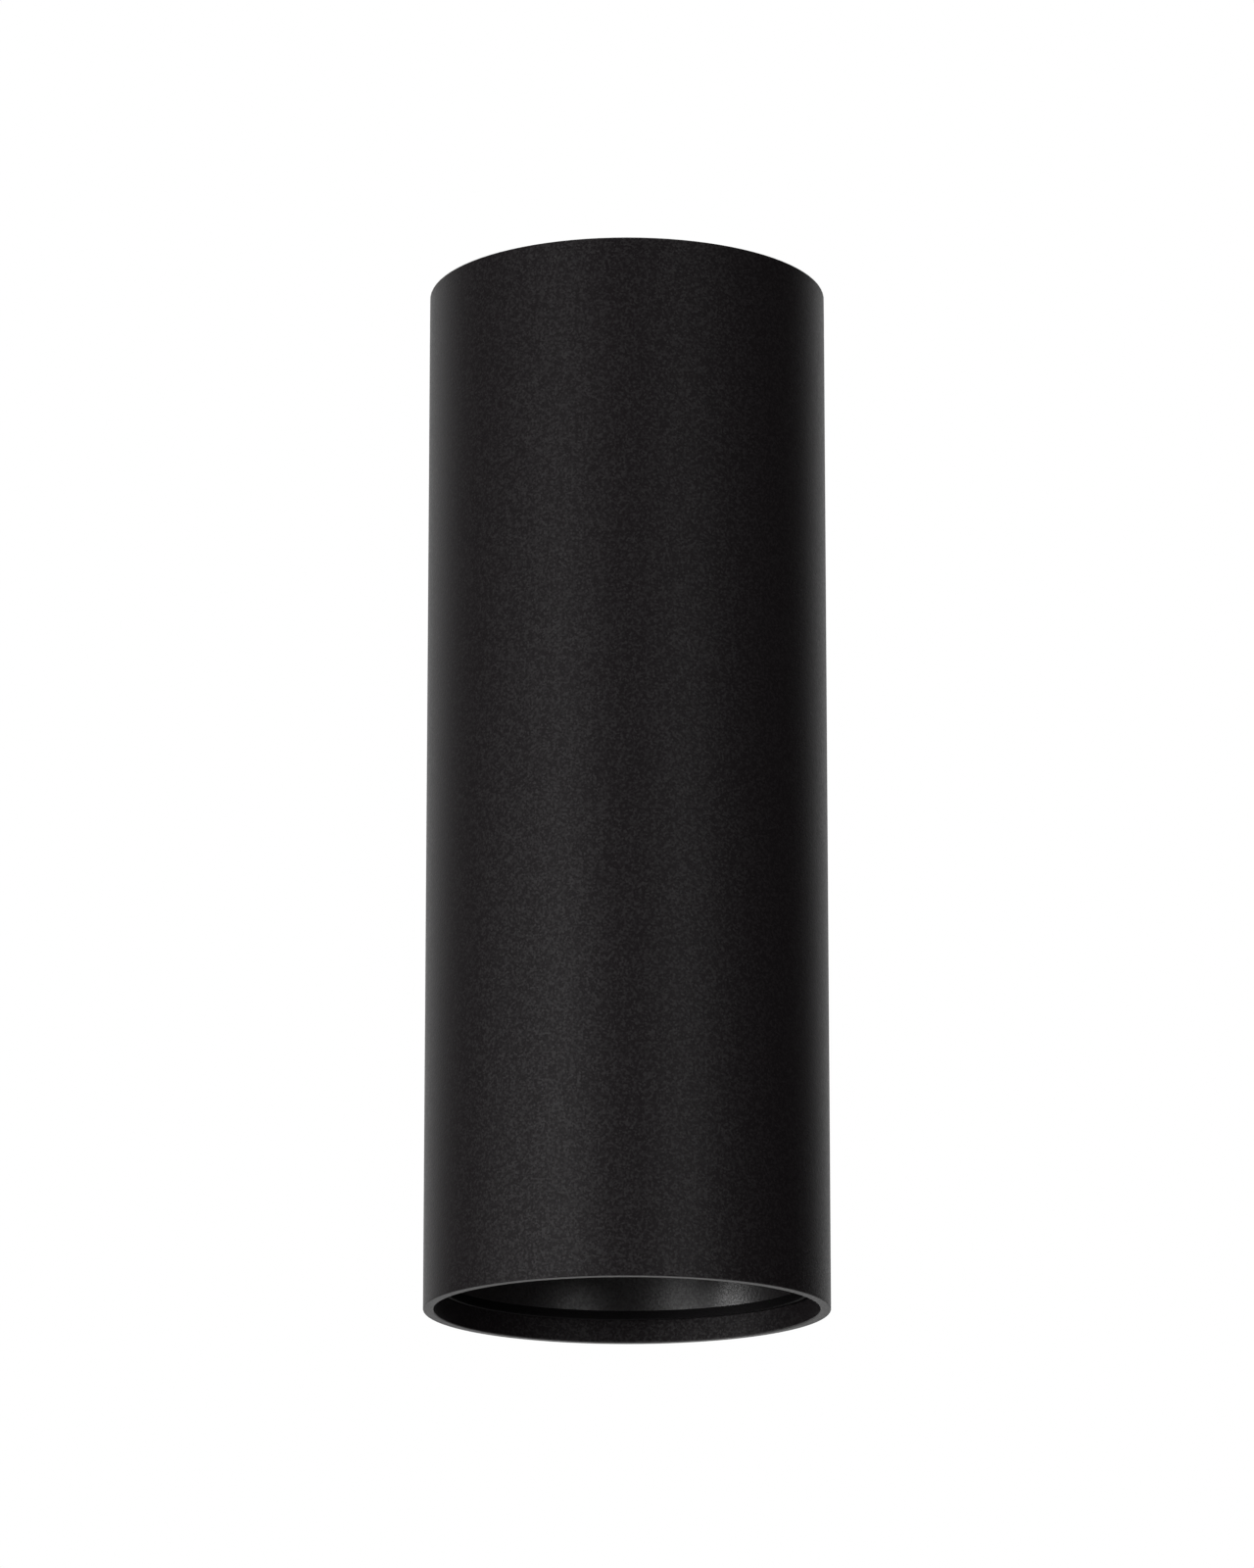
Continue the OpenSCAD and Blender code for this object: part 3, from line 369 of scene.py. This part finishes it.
def lead_green_yellow(slot):
    """Earth insulation: green with a yellow stripe along the underside."""
    made = Finish(slot, (0.05, 0.28, 0.05), 0.34)
    low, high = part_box("earth_lead")
    stripe_top = (low[2] + high[2]) / 2.0 - STRIPE_DROP
    above = made.span(made.axis("Z"), 0.0, 1.0, start=stripe_top, end=stripe_top + STRIPE_EDGE)
    made.mottle(above, (0.72, 0.58, 0.03), (0.045, 0.26, 0.05), start=0.0, end=1.0)
    fine = made.noise(0.5 * MM)
    made.gloss(fine, 0.29, 0.39)
    made.relief(fine, 8.0 * MICRON)
    return made


# Finishes with an even grain: colour, roughness, grain in mm, its height in microns, then what differs
PLAIN = {
    "grommet_rubber": ((0.018, 0.018, 0.019), 0.62, 0.5, 14.0, {"specular": 0.35}),
    "nut_brass": ((0.74, 0.54, 0.24), 0.30, 0.3, 4.0, {"metallic": 1.0}),
    "grub_black": ((0.060, 0.058, 0.062), 0.42, 0.3, 6.0, {"metallic": 0.8}),
    "screw_zinc": ((0.66, 0.66, 0.64), 0.28, 0.4, 4.0, {"metallic": 1.0}),
    "bush_nylon": ((0.80, 0.78, 0.72), 0.42, 0.5, 8.0, {"spread": 0.05}),
    "driver_white": ((0.78, 0.78, 0.76), 0.46, 0.4, 14.0, {"spread": 0.02}),
    "capacitor_blue": ((0.020, 0.036, 0.130), 0.30, 0.6, 5.0, {}),
    "connector_white": ((0.74, 0.73, 0.69), 0.42, 0.4, 10.0, {"spread": 0.05}),
    "clamp_bronze": ((0.72, 0.52, 0.34), 0.30, 0.4, 4.0, {"metallic": 1.0}),
    "button_brown": ((0.150, 0.066, 0.030), 0.42, 0.4, 10.0, {}),
    "button_blue": ((0.030, 0.100, 0.340), 0.42, 0.4, 10.0, {}),
    "button_green": ((0.050, 0.240, 0.070), 0.42, 0.4, 10.0, {}),
    "lead_brown": ((0.120, 0.052, 0.025), 0.36, 0.5, 8.0, {}),
    "lead_blue": ((0.022, 0.080, 0.300), 0.36, 0.5, 8.0, {}),
    "lead_red": ((0.480, 0.022, 0.020), 0.36, 0.5, 8.0, {}),
    "lead_black": ((0.016, 0.016, 0.017), 0.36, 0.5, 8.0, {}),
    "lug_tin": ((0.68, 0.68, 0.69), 0.30, 0.4, 5.0, {"metallic": 1.0}),
    "pad_grey": ((0.33, 0.34, 0.36), 0.80, 0.3, 20.0, {}),
    "led_board_white": ((0.82, 0.82, 0.79), 0.30, 0.6, 4.0, {"spread": 0.04}),
    "holder_white": ((0.78, 0.78, 0.75), 0.40, 0.4, 10.0, {"spread": 0.04}),
    "carrier_black": ((0.020, 0.020, 0.021), 0.50, 0.4, 12.0, {"specular": 0.35}),
    "seal_black": ((0.018, 0.018, 0.018), 0.78, 0.7, 40.0, {"specular": 0.25}),
}

# Finishes with a function of their own
OWN = {
    "tube_black": tube_black,
    "reflector_black": reflector_black,
    "bracket_zinc": bracket_zinc,
    "heatsink_aluminium": heatsink_aluminium,
    "board_green": board_green,
    "winding_yellow": winding_yellow,
    "choke_copper": choke_copper,
    "emitter_yellow": emitter_yellow,
    "reflector_bright": reflector_bright,
    "glass_clear": glass_clear,
    "gasket_silicone": gasket_silicone,
    "lead_green_yellow": lead_green_yellow,
}


def finish_for(slot):
    """The material for one of the record's slots."""
    if slot in OWN:
        return OWN[slot](slot).made
    colour, rough, grain, height, other = PLAIN[slot]
    return plain(slot, colour, rough, grain * MM, height * MICRON, **other).made


def dress(nodes):
    """Gives every CAD node the finish of the slot that it names."""
    made = {}
    for piece in nodes.values():
        for place in piece.material_slots:
            slot = place.material.name
            if slot not in made:
                made[slot] = finish_for(slot)
            place.material = made[slot]


def towards(azimuth, elevation, distance):
    """A point seen from the light's middle; azimuth 0 is the camera's side, positive to its right."""
    turn = math.radians(azimuth)
    rise = math.radians(elevation)
    flat = math.cos(rise)
    return MIDDLE + distance * Vector((math.sin(turn) * flat, -math.cos(turn) * flat, math.sin(rise)))


def softbox(name, azimuth, elevation, width, height, level, in_gloss=True):
    """A soft lamp aimed at the light; at level 1 a white face turned to it shows white."""
    data = bpy.data.lights.new(name, "AREA")
    data.shape = "RECTANGLE"
    data.size = width
    data.size_y = height
    data.energy = level * math.pi ** 2 * LAMP_DISTANCE ** 2
    lamp = bpy.data.objects.new(name, data)
    lamp.location = towards(azimuth, elevation, LAMP_DISTANCE)
    lamp.rotation_euler = (MIDDLE - lamp.location).to_track_quat("-Z", "Y").to_euler()
    lamp.visible_camera = False
    lamp.visible_glossy = in_gloss
    bpy.context.scene.collection.objects.link(lamp)


def seen_ray(tree):
    """1 for rays from the camera, off gloss or through glass, 0 for the rest."""
    path = tree.nodes.new("ShaderNodeLightPath")
    seen = path.outputs["Is Camera Ray"]
    for name in ("Is Glossy Ray", "Is Transmission Ray"):
        most = tree.nodes.new("ShaderNodeMath")
        most.operation = "MAXIMUM"
        tree.links.new(seen, most.inputs[0])
        tree.links.new(path.outputs[name], most.inputs[1])
        seen = most.outputs["Value"]
    return seen


def room():
    """White where it is seen, a plain even level where it only lights."""
    world = bpy.data.worlds.new("room")
    bpy.context.scene.world = world
    world.use_nodes = True
    tree = world.node_tree
    white = tree.nodes["Background"]
    white.inputs["Strength"].default_value = 1.0
    white.inputs["Color"].default_value = (1.0, 1.0, 1.0, 1.0)
    level = tree.nodes.new("ShaderNodeBackground")
    level.inputs["Color"].default_value = (1.0, 1.0, 1.0, 1.0)
    level.inputs["Strength"].default_value = ROOM_LEVEL
    mix = tree.nodes.new("ShaderNodeMixShader")
    tree.links.new(seen_ray(tree), mix.inputs["Fac"])
    tree.links.new(level.outputs["Background"], mix.inputs[1])
    tree.links.new(white.outputs["Background"], mix.inputs[2])
    tree.links.new(mix.outputs["Shader"], tree.nodes["World Output"].inputs["Surface"])


def stage_object(name, verts, faces, material):
    """A piece of the studio, which isn't part of the object."""
    mesh = bpy.data.meshes.new(name)
    mesh.from_pydata(verts, [], faces)
    mesh.materials.append(material)
    made = bpy.data.objects.new(name, mesh)
    bpy.context.scene.collection.objects.link(made)
    return made


def card_paint(name, shade, glow):
    """Matt grey that gives off white light of strength glow."""
    material = bpy.data.materials.new(name)
    material.use_nodes = True
    shader = material.node_tree.nodes["Principled BSDF"]
    shader.inputs["Base Color"].default_value = (shade, shade, shade, 1.0)
    shader.inputs["Roughness"].default_value = 1.0
    shader.inputs["Specular IOR Level"].default_value = 0.0
    shader.inputs["Emission Color"].default_value = (1.0, 1.0, 1.0, 1.0)
    shader.inputs["Emission Strength"].default_value = glow
    return material


def card(name, azimuths, elevations, distance, shade, glow=0.0):
    """A curved studio card round the light, seen only in its gloss."""
    verts = []
    for row in range(CARD_ROWS + 1):
        rise = elevations[0] + (elevations[1] - elevations[0]) * row / CARD_ROWS
        for column in range(CARD_COLUMNS + 1):
            turn = azimuths[0] + (azimuths[1] - azimuths[0]) * column / CARD_COLUMNS
            verts.append(towards(turn, rise, distance))
    faces = []
    for row in range(CARD_ROWS):
        for column in range(CARD_COLUMNS):
            first = row * (CARD_COLUMNS + 1) + column
            above = first + CARD_COLUMNS + 1
            faces.append((first, first + 1, above + 1, above))
    made = stage_object(name, verts, faces, card_paint(name, shade, glow))
    made.visible_camera = False
    made.visible_transmission = False
    made.visible_shadow = False


def floor_paper():
    """Pale paper that clears towards the floor's rim and is lifted towards white where it is seen."""
    material = bpy.data.materials.new("floor_paper")
    material.use_nodes = True
    tree = material.node_tree
    paper = tree.nodes["Principled BSDF"]
    paper.inputs["Base Color"].default_value = (0.86, 0.86, 0.85, 1.0)
    paper.inputs["Roughness"].default_value = 0.9
    paper.inputs["Specular IOR Level"].default_value = 0.1
    paper.inputs["Emission Color"].default_value = (1.0, 1.0, 0.99, 1.0)
    clear = tree.nodes.new("ShaderNodeBsdfTransparent")
    place = tree.nodes.new("ShaderNodeTexCoord")
    flat = tree.nodes.new("ShaderNodeVectorMath")
    flat.operation = "MULTIPLY"
    flat.inputs[1].default_value = (1.0, 1.0, 0.0)
    tree.links.new(place.outputs["Object"], flat.inputs[0])
    reach = tree.nodes.new("ShaderNodeVectorMath")
    reach.operation = "LENGTH"
    tree.links.new(flat.outputs["Vector"], reach.inputs[0])
    fade = tree.nodes.new("ShaderNodeMapRange")
    fade.interpolation_type = "SMOOTHSTEP"
    fade.inputs["From Min"].default_value = FLOOR_R * FADE_START
    fade.inputs["From Max"].default_value = FLOOR_R * FADE_END
    tree.links.new(reach.outputs["Value"], fade.inputs["Value"])
    mix = tree.nodes.new("ShaderNodeMixShader")
    tree.links.new(fade.outputs["Result"], mix.inputs["Fac"])
    lift = tree.nodes.new("ShaderNodeMath")
    lift.operation = "MULTIPLY"
    lift.inputs[1].default_value = FLOOR_LIFT
    tree.links.new(seen_ray(tree), lift.inputs[0])
    tree.links.new(lift.outputs["Value"], paper.inputs["Emission Strength"])
    tree.links.new(paper.outputs["BSDF"], mix.inputs[1])
    tree.links.new(clear.outputs["BSDF"], mix.inputs[2])
    tree.links.new(mix.outputs["Shader"], tree.nodes["Material Output"].inputs["Surface"])
    return material


def floor():
    """A pale round floor that fades out at its edge."""
    verts = [(0.0, 0.0, FLOOR_Z)]
    for step in range(FLOOR_SIDES):
        turn = 2.0 * math.pi * step / FLOOR_SIDES
        verts.append((FLOOR_R * math.cos(turn), FLOOR_R * math.sin(turn), FLOOR_Z))
    faces = [(0, step + 1, (step + 1) % FLOOR_SIDES + 1) for step in range(FLOOR_SIDES)]
    stage_object("floor", verts, faces, floor_paper())


def camera():
    """The photograph's view, from straight in front and a little below."""
    data = bpy.data.cameras.new("camera")
    data.lens = LENS
    data.sensor_width = SENSOR
    data.clip_start = NEAREST
    made = bpy.data.objects.new("camera", data)
    made.location = EYE
    made.rotation_euler = (math.pi / 2.0 + TILT, 0.0, 0.0)
    bpy.context.scene.collection.objects.link(made)
    bpy.context.scene.camera = made


def studio():
    """Dark cards that shape the gloss, three lamps in front, and a soft one and a pale card overhead."""
    card("low_card", azimuths=(-137.0, 142.0), elevations=(-40.0, 10.0), distance=2.6, shade=0.03)
    card("high_card", azimuths=(-122.0, 136.0), elevations=(10.0, 42.0), distance=2.7, shade=0.09)
    softbox("key", azimuth=-35.0, elevation=-4.0, width=0.8, height=0.9, level=0.40)
    softbox("low_left", azimuth=-70.0, elevation=-10.0, width=0.40, height=0.30, level=0.32)
    softbox("fill", azimuth=31.0, elevation=-3.0, width=0.62, height=0.7, level=0.25)
    softbox("top", azimuth=0.0, elevation=85.0, width=1.6, height=1.6, level=0.45, in_gloss=False)
    card("ceiling_card", azimuths=(0.0, 360.0), elevations=(42.0, 89.0), distance=2.8, shade=0.03, glow=0.30)


camera()
dress(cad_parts)
room()
floor()
studio()
bpy.context.scene.view_settings.view_transform = "Standard"
